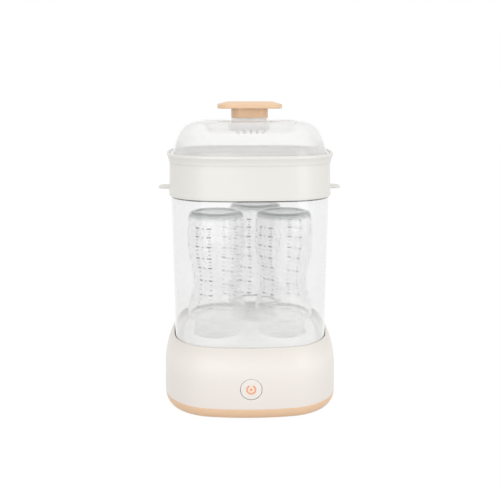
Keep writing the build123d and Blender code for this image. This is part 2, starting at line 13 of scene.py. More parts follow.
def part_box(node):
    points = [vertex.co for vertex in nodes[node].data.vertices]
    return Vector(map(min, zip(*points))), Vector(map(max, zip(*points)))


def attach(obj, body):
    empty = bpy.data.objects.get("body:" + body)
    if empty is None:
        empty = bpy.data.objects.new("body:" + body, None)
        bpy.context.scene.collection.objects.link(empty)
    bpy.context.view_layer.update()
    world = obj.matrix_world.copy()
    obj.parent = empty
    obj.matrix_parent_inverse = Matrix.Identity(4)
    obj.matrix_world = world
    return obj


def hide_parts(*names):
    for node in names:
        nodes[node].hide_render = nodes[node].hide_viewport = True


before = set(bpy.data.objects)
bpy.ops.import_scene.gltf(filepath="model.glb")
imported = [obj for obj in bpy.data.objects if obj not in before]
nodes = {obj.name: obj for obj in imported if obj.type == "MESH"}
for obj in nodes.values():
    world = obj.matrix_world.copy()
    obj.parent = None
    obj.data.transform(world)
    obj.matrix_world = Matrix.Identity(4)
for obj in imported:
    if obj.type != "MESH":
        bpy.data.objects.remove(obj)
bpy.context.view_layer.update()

mm = 0.001

# %% [markdown]
# The sizes that more than one moulding shares are read from the CAD nodes, so a piece made
# here lands on its node without any fitting. The wall thicknesses and the small steps that
# a box can't tell are named once.

# %% Sizes read from the frame
base_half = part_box("base_housing")[1].x
foot_stand, joint_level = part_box("bottom_shell")[0].z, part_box("bottom_shell")[1].z
rim_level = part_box("base_housing")[1].z
chamber_head, chamber_draft = round(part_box("chamber")[1].x, 4), 1.3 * mm
chamber_half = chamber_head - chamber_draft
seat_level, chamber_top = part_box("chamber")[0].z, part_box("chamber")[1].z
rack_low, rack_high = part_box("bottle_rack")
basket_low, basket_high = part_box("basket")
lid_low, lid_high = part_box("lid")
knob_low, knob_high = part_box("knob")
button_low, button_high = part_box("power_button")
mouth_level, bottle_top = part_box("bottle_left")[0].z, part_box("bottle_left")[1].z

lift_gap = 0.6 * mm
base_wall = 2.6 * mm
chamber_wall = 2.2 * mm
basket_wall = 2.4 * mm
lid_wall = 2.0 * mm
bottle_wall = 1.6 * mm
print("base half", base_half, "rim", rim_level, "chamber", chamber_half, "to", chamber_head)

# %% [markdown]
# The base, chamber, basket and lid share one plan: a square with bowed sides and soft
# corners. It could be a bevelled square, but then each side would be straight. Eight
# tangent arcs give both the bow and the corner, and the outlines of all the walls run
# parallel, so every gap between two of them stays even.

# %% The plan outline as a curve
corner_centre = 36.7 * mm
corner_gap = 2.9 * mm


def deselect():
    if bpy.context.object and bpy.context.object.mode != "OBJECT":
        bpy.ops.object.mode_set(mode="OBJECT")
    bpy.ops.object.select_all(action="DESELECT")


def pick(*objects):
    deselect()
    for item in objects:
        item.select_set(True)
    bpy.context.view_layer.objects.active = objects[0]


def enter_edit():
    bpy.ops.object.mode_set(mode="EDIT")


def leave_edit():
    bpy.ops.object.mode_set(mode="OBJECT")


def edit_all(piece):
    """Enters edit mode with the whole mesh selected."""
    pick(piece)
    enter_edit()
    bpy.ops.mesh.select_all(action="SELECT")


def outline(half, centre, gap):
    """Closed curve of eight arcs, the same construction as the CAD outline."""
    corner_radius = half - centre - gap
    side_radius = (centre**2 + (half - centre) ** 2 - corner_radius**2) / (2 * gap)
    swing = math.atan2(centre, centre + side_radius - half)
    side, corner = Vector((half - side_radius, 0, 0)), Vector((centre, centre, 0))
    deselect()
    bpy.ops.curve.primitive_bezier_circle_add(radius=half)
    enter_edit()
    bpy.ops.curve.select_all(action="SELECT")
    bpy.ops.curve.subdivide(number_cuts=1)
    leave_edit()
    path = bpy.context.object
    points = path.data.splines[0].bezier_points
    side_arm = 4 / 3 * math.tan(swing / 2) * side_radius
    corner_arm = 4 / 3 * math.tan((math.pi / 4 - swing) / 2) * corner_radius
    for i, point in enumerate(points):
        quarter, second = divmod(i, 2)
        angle = math.pi / 2 - swing if second else swing
        turn = Matrix.Rotation(quarter * math.pi / 2, 3, "Z")
        way = Vector((math.cos(angle), math.sin(angle), 0))
        along = Vector((-way.y, way.x, 0))
        point.handle_left_type = point.handle_right_type = "FREE"
        point.co = turn @ (corner + way * corner_radius)
        before, after = (corner_arm, side_arm) if second else (side_arm, corner_arm)
        point.handle_left = point.co - turn @ along * before
        point.handle_right = point.co + turn @ along * after
    return path


# %% [markdown]
# A wall is a profile swept along that outline. A curve's bevel object does this in one
# step, and converting the curve leaves a clean grid of quads. The profile is a list of
# (half width, level) points, with arcs that leave the last point in a given direction.

# %% Profiles and sweeps
class Profile:
    """A line drawn in (half width, level), from point to point."""

    def __init__(self, half, level):
        self.points = [Vector((half, level))]

    def line(self, *stops, towards=None):
        """Runs through points. One with a radius (and steps) becomes a round corner."""
        for stop, beyond in zip(stops, [*stops[1:], towards]):
            if len(stop) > 2:
                self.corner(*stop[:3], beyond[:2], *stop[3:])
            else:
                self.points.append(Vector(stop))
        return self

    def arc(self, half, level, heading=None, steps=10, arriving=None):
        """Arc to a point. It leaves along the heading or the last run, or arrives as told."""
        if arriving:
            back = Profile(half, level).arc(*self.points[-1], [-c for c in arriving], steps)
            return self.line(*reversed(back.points[:-1]))
        start, end = self.points[-1], Vector((half, level))
        heading = Vector(heading or self.points[-1] - self.points[-2]).normalized()
        chord = end - start
        across = Vector((-heading.y, heading.x))
        radius = chord.length_squared / (2 * chord.dot(across))
        centre = start + across * radius
        turn = 2 * math.atan2(chord.dot(across), chord.dot(heading))
        for i in range(1, steps + 1):
            part = Matrix.Rotation(turn * i / steps, 2)
            self.points.append(centre + part @ (start - centre))
        return self

    def corner(self, half, level, radius, beyond, steps=5):
        """Rounds the corner at a point on the way towards the point beyond it."""
        tip, start, after = Vector((half, level)), self.points[-1], Vector(beyond)
        into, out = (tip - start).normalized(), (after - tip).normalized()
        trim = radius * math.tan(into.angle(out) / 2)
        self.points.append(tip - into * trim)
        end = tip + out * trim
        return self.arc(end.x, end.y, into, steps)

    def inside(self, wall):
        """The points of a line that runs a wall's thickness to the left of this one."""
        moved = []
        for i, point in enumerate(self.points):
            into = (point - self.points[i - 1] if i else self.points[1] - point).normalized()
            out = self.points[i + 1] - point if i + 1 < len(self.points) else into
            way = (into + out.normalized()).normalized()
            moved.append(point + Vector((-way.y, way.x)) * wall / way.dot(into))
        return moved


weld_distance = 0.01 * mm
smooth_angle = math.radians(32)


def sweep(name, half, profile, closed=False, steps=16,
          centre=corner_centre, gap=corner_gap, path=None):
    """Mesh of a profile swept along an outline, or another path, of that half width."""
    path = path or outline(half, centre, gap)
    line = bpy.data.curves.new(name + "_line", "CURVE")
    line.dimensions = "2D"
    spline = line.splines.new("POLY")
    spline.points.add(len(profile.points) - 1)
    for point, (x, z) in zip(spline.points, profile.points):
        point.co = (half - x, z, 0, 1)
    spline.use_cyclic_u = closed
    shape = bpy.data.objects.new(name + "_line", line)
    bpy.context.scene.collection.objects.link(shape)
    path.data.dimensions, path.data.resolution_u = "2D", steps
    path.data.bevel_mode, path.data.bevel_object = "OBJECT", shape
    pick(path)
    bpy.ops.object.convert(target="MESH")
    bpy.data.objects.remove(shape)
    path.name = path.data.name = name
    return path


def tidy(piece):
    """Merges doubles and turns the faces outwards."""
    edit_all(piece)
    bpy.ops.mesh.remove_doubles(threshold=weld_distance)
    bpy.ops.mesh.normals_make_consistent(inside=False)
    leave_edit()
    return piece


def smooth(piece):
    pick(piece)
    bpy.ops.object.shade_smooth_by_angle(angle=smooth_angle)


def apply_modifier(piece, kind, **settings):
    pick(piece)
    bpy.ops.object.modifier_add(type=kind)
    modifier = piece.modifiers[-1]
    for key, value in settings.items():
        setattr(modifier, key, value)
    bpy.ops.object.modifier_apply(modifier=modifier.name)


def combine(piece, other, operation):
    """Boolean with another mesh, which is used up."""
    apply_modifier(piece, "BOOLEAN", operation=operation, object=other, solver="EXACT")
    bpy.data.objects.remove(other)


def rim(piece, half, level):
    """Finds the edges of the open loop nearest to (half, 0, level)."""
    pick(piece)
    enter_edit()
    bpy.ops.mesh.select_mode(type="EDGE")
    leave_edit()
    mesh = piece.data
    uses = {}
    for face in mesh.polygons:
        for key in face.edge_keys:
            uses[key] = uses.get(key, 0) + 1
    links = {}
    for edge in mesh.edges:
        if uses.get(edge.key, 0) < 2:
            for v in edge.vertices:
                links.setdefault(v, []).append(edge)
    spot = Vector((half, 0, level))
    start = min(links, key=lambda v: (mesh.vertices[v].co - spot).length)
    found, queue = set(), [start]
    while queue:
        for edge in links[queue.pop()]:
            if edge.index not in found:
                found.add(edge.index)
                queue += list(edge.vertices)
    return found


def select_edges(piece, *loops):
    """Enters edit mode with just these edge loops selected."""
    pick(piece)
    for item in (*piece.data.polygons, *piece.data.vertices):
        item.select = False
    wanted = set().union(*loops)
    for edge in piece.data.edges:
        edge.select = edge.index in wanted
    enter_edit()
    bpy.ops.mesh.select_mode(type="EDGE")


def cap(piece, half, *levels):
    """Fills the open loop at each level with one face."""
    for level in levels:
        select_edges(piece, rim(piece, half, level))
        bpy.ops.mesh.edge_face_add()
        leave_edit()


def bridge(piece, first, second):
    """Joins two open loops, each given as (half, level)."""
    select_edges(piece, rim(piece, *first), rim(piece, *second))
    bpy.ops.mesh.bridge_edge_loops()
    leave_edit()


def join(name, *parts):
    pick(*parts)
    if len(parts) > 1:
        bpy.ops.object.join()
    parts[0].name = parts[0].data.name = name
    return parts[0]


# %% [markdown]
# Every finish is procedural. Shader maths is easier to read as an expression than as a
# chain of nodes, so one small class wraps a socket and adds the Math nodes when values
# are added, multiplied or raised. All other nodes come from one method.

# %% Finishes
class Value:
    """A socket that can be used in a Python expression."""

    def __init__(self, finish, socket):
        self.finish, self.socket = finish, socket

    def math(self, operation, other, kind="Math", output=0):
        return self.finish.node(kind, {"operation": operation}, {0: self, 1: other}, output)

    def __add__(self, other):
        return self.math("ADD", other)

    def __rsub__(self, other):
        return self.finish.node("Math", {"operation": "SUBTRACT"}, {0: other, 1: self})

    def __mul__(self, other):
        return self.math("MULTIPLY", other)

    def __pow__(self, other):
        return self.math("POWER", other)

    __radd__, __rmul__ = __add__, __mul__


def srgb(colour):
    """A colour picked on a 0 to 255 scale, as the shader wants it."""
    channels = [c / 255 for c in colour]
    return (*[c / 12.92 if c <= 0.04045 else ((c + 0.055) / 1.055) ** 2.4 for c in channels], 1)


class Finish:
    """A material round one Principled shader."""

    def __init__(self, name, colour, roughness, **sockets):
        self.material = bpy.data.materials.new(name)
        self.material.use_nodes = True
        self.tree = self.material.node_tree
        self.shader = self.tree.nodes["Principled BSDF"]
        self.output = self.tree.nodes["Material Output"]
        self.colour = srgb(colour)
        self.put("Base Color", self.colour)
        self.rough(roughness)
        for name, value in sockets.items():
            self.put(name.replace("_", " "), value)

    def feed(self, socket, value):
        if isinstance(value, Value):
            self.tree.links.new(value.socket, socket)
        else:
            socket.default_value = value

    def put(self, name, value):
        self.feed(self.shader.inputs[name], value)

    def node(self, kind, settings=None, inputs=None, output=0):
        made = self.tree.nodes.new("ShaderNode" + kind)
        for name, value in (settings or {}).items():
            setattr(made, name, value)
        for name, value in (inputs or {}).items():
            self.feed(made.inputs[name], value)
        return Value(self, made.outputs[output])

    def here(self):
        """The point that is shaded, in the object's own coordinates."""
        return self.node("TexCoord", output="Object")

    def noise(self, scale, detail=2.0, stretch=(1, 1, 1)):
        """Noise on the object's own coordinates, about 0 to 1."""
        spread = self.node("Mapping", inputs={"Vector": self.here(), "Scale": stretch})
        return self.node("TexNoise", inputs={"Vector": spread, "Scale": scale, "Detail": detail})

    def level(self, low, high):
        """0 below one level of the part, 1 above another."""
        z = self.node("SeparateXYZ", inputs={"Vector": self.here()}, output="Z")
        inputs = {"Value": z, "From Min": low, "From Max": high}
        return self.node("MapRange", {"interpolation_type": "SMOOTHSTEP"}, inputs)

    def tint(self, mask, colour):
        """Moves the colour towards another one where the mask is high."""
        mix = {"data_type": "RGBA"}
        self.colour = self.node("Mix", mix, {0: mask, 6: self.colour, 7: srgb(colour)}, output=2)
        self.put("Base Color", self.colour)

    def rough(self, value):
        self.put("Roughness", value)

    def bump(self, height, distance, strength):
        inputs = {"Height": height, "Distance": distance, "Strength": strength}
        self.put("Normal", self.node("Bump", inputs=inputs))

    def see_through(self, share):
        """Lets light through but for a share of the surface."""
        clear = self.node("BsdfTransparent")
        solid = Value(self, self.shader.outputs[0])
        mix = self.node("MixShader", inputs={0: share, 1: clear, 2: solid})
        self.feed(self.output.inputs["Surface"], mix)


def paint(piece, finish):
    piece.data.materials.clear()
    piece.data.materials.append(finish.material)


def dress(piece, finish, slot, body, *replaced):
    """Gives a finished piece its material and its body; the slot is not used."""
    paint(piece, finish)
    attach(piece, body)
    if replaced:
        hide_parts(*replaced)
    print(piece.name, len(piece.data.polygons), "faces on", body)


# %% [markdown]
# The opaque mouldings are ABS and polypropylene from a spark-eroded tool: an even colour,
# a fine grain that breaks up the highlight, and a gloss that drifts a little from place to
# place. The same recipe serves each colour, with its own grain.

# %% Opaque plastics
def moulded(name, colour, shade, roughness, grain=0.35, depth=0.02, **sockets):
    """Two close colours in soft clouds; the grain and its depth are in millimetres."""
    finish = Finish(name, colour, roughness, **sockets)
    cloud = finish.noise(28, 3)
    finish.tint(cloud * 0.5, shade)
    finish.rough(roughness - 0.04 + cloud * 0.08)
    finish.bump(finish.noise(1 / (grain * mm), 1), depth * mm, 0.35)
    return finish


ivory = moulded("ivory_plastic", (232, 226, 221), (228, 222, 216), 0.36,
                Specular_IOR_Level=0.45)
# Painted shade: the ivory darkens a little over the top 22 mm, towards the rim, where the rolled
# shoulder catches less light.
ivory.tint(ivory.level(rim_level - 22 * mm, rim_level) * 0.8, (219, 214, 206))
basket_white = moulded("basket_plastic", (223, 222, 217), (219, 218, 212), 0.34)
tan = moulded("tan_plastic", (230, 196, 162), (226, 190, 154), 0.38, depth=0.03)
rack_white = moulded("rack_plastic", (250, 250, 249), (246, 246, 245), 0.4)
button_white = moulded("button_plastic", (233, 228, 223), (230, 224, 219), 0.32)
black = moulded("black_plastic", (38, 38, 40), (30, 30, 32), 0.45)
rubber = moulded("foot_rubber", (90, 88, 86), (74, 72, 70), 0.8, grain=0.6)
silicone = moulded("seal_silicone", (214, 214, 212), (203, 203, 201), 0.55, grain=0.8)
print("opaque finishes ready")

# %% [markdown]
# The clear parts show what is behind them, so they need more thought. The chamber and the
# lid are thin walls that hardly bend the light: a transparent shader mixed with a hazy
# one is quick and casts a light shadow. The haze and its grey grow towards grazing
# angles, which draws the outline that a clear wall shows at its sides. A mist thickens
# the haze near the foot of each piece. On the chamber the mist is also paler, which is
# painted light for the bright inside seen through the foot, and a dark line near the
# chamber's upper edge is a painted shadow under the basket's skirt.
#
# A wall has two faces but one haze, so it counts only where light enters. On the chamber
# it also counts only on the outside, and on every face of the flange at its foot. The
# bottles are small and thick enough to bend the light, so they refract.

# %% Clear plastics
def radial(finish, x, y, z, reach):
    """1 at a point of the part, falling to 0 at the reach."""
    away = finish.here().math("DISTANCE", (x, y, z), "VectorMath", "Value")
    inputs = {"Value": away, "From Min": 0.0, "From Max": reach, "To Min": 1.0, "To Max": 0.0}
    return finish.node("MapRange", {"interpolation_type": "SMOOTHERSTEP"}, inputs)


def clear_wall(name, colour, edge_colour, face_on, edge_on, power, mist, low, high):
    """A haze that grows and darkens towards the edges, with a mist that fades from low to high."""
    finish = Finish(name, colour, 0.2, Coat_Weight=1.0)
    facing = finish.node("LayerWeight", inputs={"Blend": 0.5}, output="Facing")
    finish.tint(facing**(2 * power), edge_colour)
    finish.rough(0.15 + finish.noise(36, 4) * 0.1)
    finish.haze = face_on + (edge_on - face_on) * facing**power
    finish.haze += mist * (1 - finish.level(low, high))
    finish.haze *= 1 - finish.node("NewGeometry", output="Backfacing")
    return finish


mist_and_painted_light_low, mist_and_painted_light_high = rim_level + 22 * mm, rim_level + 72 * mm
chamber_clear = clear_wall("chamber_clear", (206, 207, 207), (197, 199, 199),
                           0.42, 0.75, 3, 0.37, mist_and_painted_light_low, mist_and_painted_light_high)
# On the chamber the mist is also paler towards the foot: painted light that stands in for the
# bright inside seen through it.
chamber_clear.tint(1 - chamber_clear.level(mist_and_painted_light_low, mist_and_painted_light_high), (230, 230, 229))
# Painted shadow: a dark, hazier band a few millimetres below the chamber's top, just under the
# basket's skirt.
skirt_shadow_low, skirt_shadow_high = chamber_top - 4.6 * mm, chamber_top - 3.9 * mm
skirt_shadow = chamber_clear.level(skirt_shadow_low, skirt_shadow_high)
chamber_clear.tint(skirt_shadow, (70, 72, 72))
chamber_clear.haze += skirt_shadow * 0.5
from_axis = chamber_clear.here().math("MULTIPLY", (1, 1, 0), "VectorMath")
normal = chamber_clear.node("NewGeometry", output="Normal")
outer_face = normal.math("DOT_PRODUCT", from_axis, "VectorMath", "Value").math("GREATER_THAN", 0.0)
foot_low, foot_high = seat_level + 5 * mm, seat_level + 9 * mm
foot_face = 1 - chamber_clear.level(foot_low, foot_high)
chamber_clear.see_through(chamber_clear.haze * outer_face.math("MAXIMUM", foot_face))
lid_clear = clear_wall("lid_clear", (254, 254, 254), (190, 192, 192), 0.28, 0.75, 2.0,
                       0.2, lid_low.z, lid_low.z + 28 * mm)
dish_mist = radial(lid_clear, 0, 0, lid_high.z, 42 * mm)
lid_clear.see_through(lid_clear.haze + dish_mist * 0.5)
bottle_clear = Finish("bottle_plastic", (252, 252, 252), 0.06,
                      Transmission_Weight=0.95, IOR=1.32)
bottle_clear.rough(0.04 + bottle_clear.noise(60, 3) * 0.06)
# Painted shade: the closed end of each bottle, uppermost as it stands mouth down, is tinted grey
# for the shaded basket floor that it refracts.
bottle_end_shade = bottle_clear.level(bottle_top - 8 * mm, bottle_top - 3 * mm)
bottle_clear.tint(bottle_end_shade, (176, 179, 180))
print("clear finishes ready")

# %% [markdown]
# The parts under the deck are out of sight, and the feet and the small screws show little.
# All of them keep their CAD shape, and take finishes that suit them: brushed steel, rubber,
# silicone, a green circuit board and black fittings.

# %% Inner parts
def lit(name, colour, glow, strength, roughness, scale):
    """A plastic that shines a little by itself."""
    finish = Finish(name, colour, roughness, Emission_Color=srgb(glow), Emission_Strength=strength)
    finish.rough(roughness - 0.05 + finish.noise(scale) * 0.1)
    return finish


steel = Finish("brushed_steel", (196, 196, 198), 0.28, Metallic=1.0)
steel.rough(0.22 + steel.noise(160, 3, (1, 14, 1)) * 0.16)
plate_steel = Finish("spun_steel", (200, 200, 202), 0.3, Metallic=1.0)
rings = plate_steel.node("TexWave", {"wave_type": "RINGS", "rings_direction": "Z"},
                         {"Vector": plate_steel.here(), "Scale": 220.0})
plate_steel.rough(0.2 + rings * 0.14)
circuit = Finish("circuit_board", (46, 98, 66), 0.42)
traces = circuit.node("TexBrick", inputs={"Vector": circuit.here(), "Scale": 160.0}, output="Fac")
circuit.tint(traces * 0.6, (84, 140, 92))
led_finish = lit("led_lens", (255, 214, 178), (255, 170, 110), 0.6, 0.2, 400)
guide_finish = lit("light_guide_clear", (240, 236, 230), (255, 190, 140), 0.15, 0.2, 300)
inner_parts = {
    steel: "heating_element thermostat clamp_ring "
           "clamp_screws board_screws shell_screws knob_screw",
    black: "button_switch switch_plunger terminal_block cord_grommet",
    silicone: "heater_seal knob_seal", rubber: "feet", plate_steel: "heater_plate",
    circuit: "control_board", guide_finish: "light_guide", led_finish: "indicator_led",
}
for finish, names in inner_parts.items():
    for node in names.split():
        paint(nodes[node], finish)
    print(finish.material.name, "on", names)


# %% [markdown]
# The bottom shell is a tan tray. Its side is one arc that stands upright at the joint and
# runs in towards the floor. The sweep leaves the floor open in the middle, two flat faces
# close it, and booleans then sink the feet and the screws. The narrow vents in the floor
# of the CAD node are left out here.

# %% Bottom shell
def place(piece, x=0.0, y=0.0, z=0.0, tilt=(0, 0, 0)):
    """Stands a piece where it belongs and leaves its origin at the middle of the floor."""
    pick(piece)
    piece.rotation_euler = tilt
    piece.location = (x, y, z)
    bpy.ops.object.transform_apply(location=True, rotation=True, scale=True)
    return piece


def rod(radius, length, x, y, z, tilt=(0, 0, 0), sides=64):
    """A solid cylinder with its middle at a place."""
    deselect()
    bpy.ops.mesh.primitive_cylinder_add(vertices=sides, radius=radius, depth=length)
    return place(bpy.context.object, x, y, z, tilt)


def drill(piece, radius, low, high, places, sides=40):
    """Cuts upright round holes."""
    cutters = [rod(radius, high - low, x, y, (low + high) / 2, sides=sides) for x, y in places]
    combine(piece, join("cutter", *cutters), "DIFFERENCE")


def corners(reach):
    return [(x, y) for x in (-reach, reach) for y in (-reach, reach)]


shell_toe, shell_floor = 4.2 * mm, 2.5 * mm
joint_round = 0.35 * mm
floor_top = foot_stand + shell_floor
toe_half = base_half - shell_toe
shell_open = 50 * mm
shell_inner = base_half - base_wall
bottom = Profile(shell_open, floor_top).line(
    (toe_half - base_wall, floor_top), (shell_inner, floor_top + base_wall),
    (shell_inner, joint_level), (base_half, joint_level, joint_round),
    towards=(base_half, foot_stand))
flank = Profile(base_half, joint_level - joint_round).arc(toe_half, foot_stand, (0, -1), 14)
bottom.line(*flank.points[1:], (shell_open, foot_stand))
bottom_shell = sweep("bottom_shell_smooth", base_half, bottom)
cap(bottom_shell, shell_open, floor_top, foot_stand)
tidy(bottom_shell)
foot_radius, foot_place, foot_recess = 9.1 * mm, 64 * mm, 1.4 * mm
screw_place, head_radius, head_height = 50 * mm, 3.1 * mm, 1.6 * mm
pilot_radius = 1.55 * mm
drill(bottom_shell, foot_radius, 0, foot_stand + foot_recess, corners(foot_place))
drill(bottom_shell, head_radius, 0, foot_stand + head_height, corners(screw_place), 24)
drill(bottom_shell, pilot_radius, 0, 2 * floor_top, corners(screw_place), 16)
smooth(bottom_shell)
print("bottom shell", len(bottom_shell.data.vertices), "points")


# %% [markdown]
# The housing is the piece that gives the base its look: a wall that stands almost upright,
# then rolls over in one wide arc to a narrow rim. Inside the rim a step carries the
# chamber, and a deck closes the space below. All of it is one section, swept once.

# %% Base housing
wall_top = 42 * mm
wall_lean = 0.65 * mm
rim_half = chamber_half + lift_gap
rim_lip = 1.0 * mm
seat_half = rim_half - 6 * mm
deck_level = seat_level - 4 * mm
deck, deck_open = 2.5 * mm, 65 * mm
skin = Profile(base_half, joint_level).line((base_half - wall_lean, wall_top))
skin.arc(rim_half + rim_lip, rim_level, steps=28)
step_half = rim_half + deck
inner_skin = [p for p in skin.inside(base_wall) if p.x > step_half]
section = Profile(deck_open, deck_level - deck).line(
    (seat_half + deck, deck_level - deck), (seat_half + deck, seat_level - deck),
    (step_half, seat_level - deck), (step_half, inner_skin[-1].y), *reversed(inner_skin),
    (base_half, joint_level, joint_round), towards=(base_half, wall_top))
section.line(*skin.points[1:-1], (*skin.points[-1], 0.3 * mm), (rim_half, rim_level, 0.4 * mm),
             (rim_half, seat_level), (seat_half, seat_level, 0.6 * mm),
             (seat_half, deck_level), (deck_open, deck_level))
housing = sweep("base_housing_smooth", base_half, section)
cap(housing, deck_open, deck_level, deck_level - deck)
tidy(housing)
print("housing", len(housing.data.vertices), "points")

# %% [markdown]
# Round parts use the same sweep along a circle, and are then stood where they belong. The
# well and the tube that guides the button are such rings, merged with the housing by
# booleans. The screw bosses and the posts of the control board only touch it, so they are
# joined to it as closed tubes.

# %% Well, button guide and bosses
def ring(name, radius, profile, closed=True, steps=24):
    """Profile swept round the Z axis."""
    deselect()
    bpy.ops.curve.primitive_bezier_circle_add(radius=radius)
    return tidy(sweep(name, radius, profile, closed, steps, path=bpy.context.object))


def tube(outer, bore, low, high):
    shape = Profile(outer, low).line((outer, high), (bore, high), (bore, low))
    return ring("tube", outer, shape, steps=12)


well_radius, well_floor = 54 * mm, deck_level - 14 * mm
heater_opening = 46 * mm
well_top = deck_level - 0.01 * mm
drill(housing, well_radius + 1 * mm, deck_level - 2 * deck, deck_level + deck, [(0, 0)], 96)
well = Profile(well_radius, well_top).line((well_radius, well_floor), (heater_opening, well_floor))
well.line((heater_opening, well_floor - deck), (well_radius + deck, well_floor - deck))
well.line((well_radius + deck, well_top))
combine(housing, ring("well", well_radius, well), "UNION")
forward = (math.pi / 2, 0, 0)
button_centre = (button_low + button_high) / 2
button_radius = (button_high.x - button_low.x) / 2
button_face = button_low.y
button_bore, guide_wall = button_radius + 0.45 * mm, 2 * mm
guide_length, guide_end, bore_length = 8 * mm, 8.6 * mm, 24 * mm
guide = tube(button_bore + guide_wall, button_bore, 0, guide_length)
combine(housing, place(guide, 0, button_face + guide_end, button_centre.z, forward), "UNION")
hole = rod(button_bore, bore_length, 0, button_face, button_centre.z, forward, 96)
combine(housing, hole, "DIFFERENCE")
boss_radius, post_radius, post_length = 4.5 * mm, 3 * mm, 11.6 * mm
post_place, post_end = 24 * mm, 13 * mm
for x, y in corners(screw_place):
    boss = place(tube(boss_radius, pilot_radius, floor_top, deck_level - deck), x, y)
    housing = join("base_housing_smooth", housing, boss)
for x in (-post_place, post_place):
    post = tube(post_radius, pilot_radius, 0, post_length)
    place(post, x, button_face + post_end, button_centre.z, forward)
    housing = join("base_housing_smooth", housing, post)
print("button at", [round(c, 4) for c in button_centre], "radius", round(button_radius, 5))

# %% [markdown]
# At the back a pad behind the wall holds the cord's grommet, whose flange lies in a
# shallow recess. The cord itself isn't part of the model.

# %% Cord inlet
grommet_low, grommet_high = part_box("cord_grommet")
inlet_level = (grommet_low.z + grommet_high.z) / 2
flange_radius = (grommet_high.x - grommet_low.x) / 2
rear_face = grommet_high.y
grommet_face, grommet_grip, grommet_radius = 1.2 * mm, 3.0 * mm, 7.1 * mm
backward = (-math.pi / 2, 0, 0)
pad_front, pad_back = rear_face - grommet_face - grommet_grip, rear_face - 1.3 * mm
pad_middle, pad_length = (pad_back + pad_front) / 2, pad_back - pad_front
pad = rod(flange_radius + base_wall, pad_length, 0, pad_middle, inlet_level, backward)
combine(housing, pad, "UNION")
inlet_depth, overshoot = 10 * mm, 4 * mm
for radius, depth in ((grommet_radius, inlet_depth), (flange_radius + 0.1 * mm, grommet_face)):
    recess_middle = rear_face + (overshoot - depth) / 2
    recess = rod(radius, depth + overshoot, 0, recess_middle, inlet_level, backward)
    combine(housing, recess, "DIFFERENCE")
smooth(housing)
dress(bottom_shell, tan, "tan", "base", "bottom_shell")
dress(housing, ivory, "housing", "base", "base_housing")

# %% [markdown]
# The button is a shallow cap with a soft edge. Its mark is an open ring round a dot, lit
# from behind, so the cap carries a faint warm glow that fades away from the mark.

# %% Button
glow = radial(button_white, 0, button_face, button_centre.z, 9 * mm)
button_white.tint(glow * 0.55, (246, 214, 190))
cap_depth, cap_skin, cap_round, cap_open = 8 * mm, 1.8 * mm, 0.7 * mm, 0.5 * mm
cap_inner, cap_ceiling = button_radius - cap_skin, cap_depth - cap_skin
cup = Profile(cap_open, cap_depth).line(
    (button_radius, cap_depth, cap_round), (button_radius, 0), (cap_inner, 0),
    (cap_inner, cap_ceiling), (cap_open, cap_ceiling))
button = ring("power_button_smooth", button_radius, cup, closed=False)
cap(button, cap_open, cap_depth, cap_ceiling)
place(tidy(button), 0, button_face + cap_depth, button_centre.z, forward)
smooth(button)
dress(button, button_white, "button", "button", "power_button")

# %% Lit mark
mark_finish = lit("lit_mark", (230, 154, 112), (240, 150, 100), 0.04, 0.35, 500)
mark_radius, mark_width, mark_height = 4.6 * mm, 1.5 * mm, 0.12 * mm
mark_gap, mark_sink = math.radians(34), 0.02 * mm
dot_radius, dot_open = 1.4 * mm, 0.1 * mm


def select_where(piece, test):
    """Edit mode with the points selected that pass a test."""
    pick(piece)
    enter_edit()
    bpy.ops.mesh.select_mode(type="VERT")
    bpy.ops.mesh.select_all(action="DESELECT")
    leave_edit()
    for vertex in piece.data.vertices:
        vertex.select = test(vertex.co)
    enter_edit()


half_width = mark_width / 2
mark_outer, mark_inner = mark_radius + half_width, mark_radius - half_width
band = Profile(mark_outer, 0).line((mark_outer, mark_height), (mark_inner, mark_height))
band.line((mark_inner, 0))
mark = ring("power_mark", mark_radius, band)
select_where(mark, lambda co: co.y > 0 and abs(math.atan2(co.x, co.y)) < mark_gap)
bpy.ops.mesh.delete(type="VERT")
bpy.ops.mesh.select_all(action="SELECT")
bpy.ops.mesh.select_non_manifold()
bpy.ops.mesh.edge_face_add()
leave_edit()
mark_end = mark_radius * math.sin(mark_gap), mark_radius * math.cos(mark_gap)
dots = [(0, 0, dot_radius)]
dots += [(side * mark_end[0], mark_end[1], half_width) for side in (-1, 1)]
for x, y, radius in dots:
    disc = Profile(dot_open, 0).line((radius, 0), (radius, mark_height), (dot_open, mark_height))
    dot = ring("dot", radius, disc, closed=False, steps=10)
    cap(dot, dot_open, 0, mark_height)
    mark = join("power_mark", mark, place(dot, x, y))
place(mark, 0, button_face + mark_sink, button_centre.z, forward)
smooth(mark)
dress(mark, mark_finish, "button", "button")

# %% [markdown]
# The chamber is an open sleeve, a little wider at the top than at the foot. A small flange
# at its foot stiffens it, and both ends have softened edges, which is where a clear wall
# catches the light.

# %% Chamber
foot = 4.3 * mm
lip_round = 0.5 * mm
inner_head, inner_foot = chamber_head - chamber_wall, chamber_half - chamber_wall
sleeve = Profile(chamber_half - foot, seat_level + chamber_wall).line(
    (chamber_half - foot, seat_level), (chamber_half, seat_level, lip_round),
    (chamber_head, chamber_top, lip_round), (inner_head, chamber_top, lip_round),
    (inner_foot, seat_level + foot))
chamber = sweep("chamber_smooth", chamber_half, sleeve, closed=True, steps=24)
smooth(tidy(chamber))
dress(chamber, chamber_clear, "clear", "chamber", "chamber")


# %% [markdown]
# The rack is a plate on a low skirt, cut away in the middle of each side so that water
# runs under it. A collar holds each bottle by its neck, over a hole for the steam.

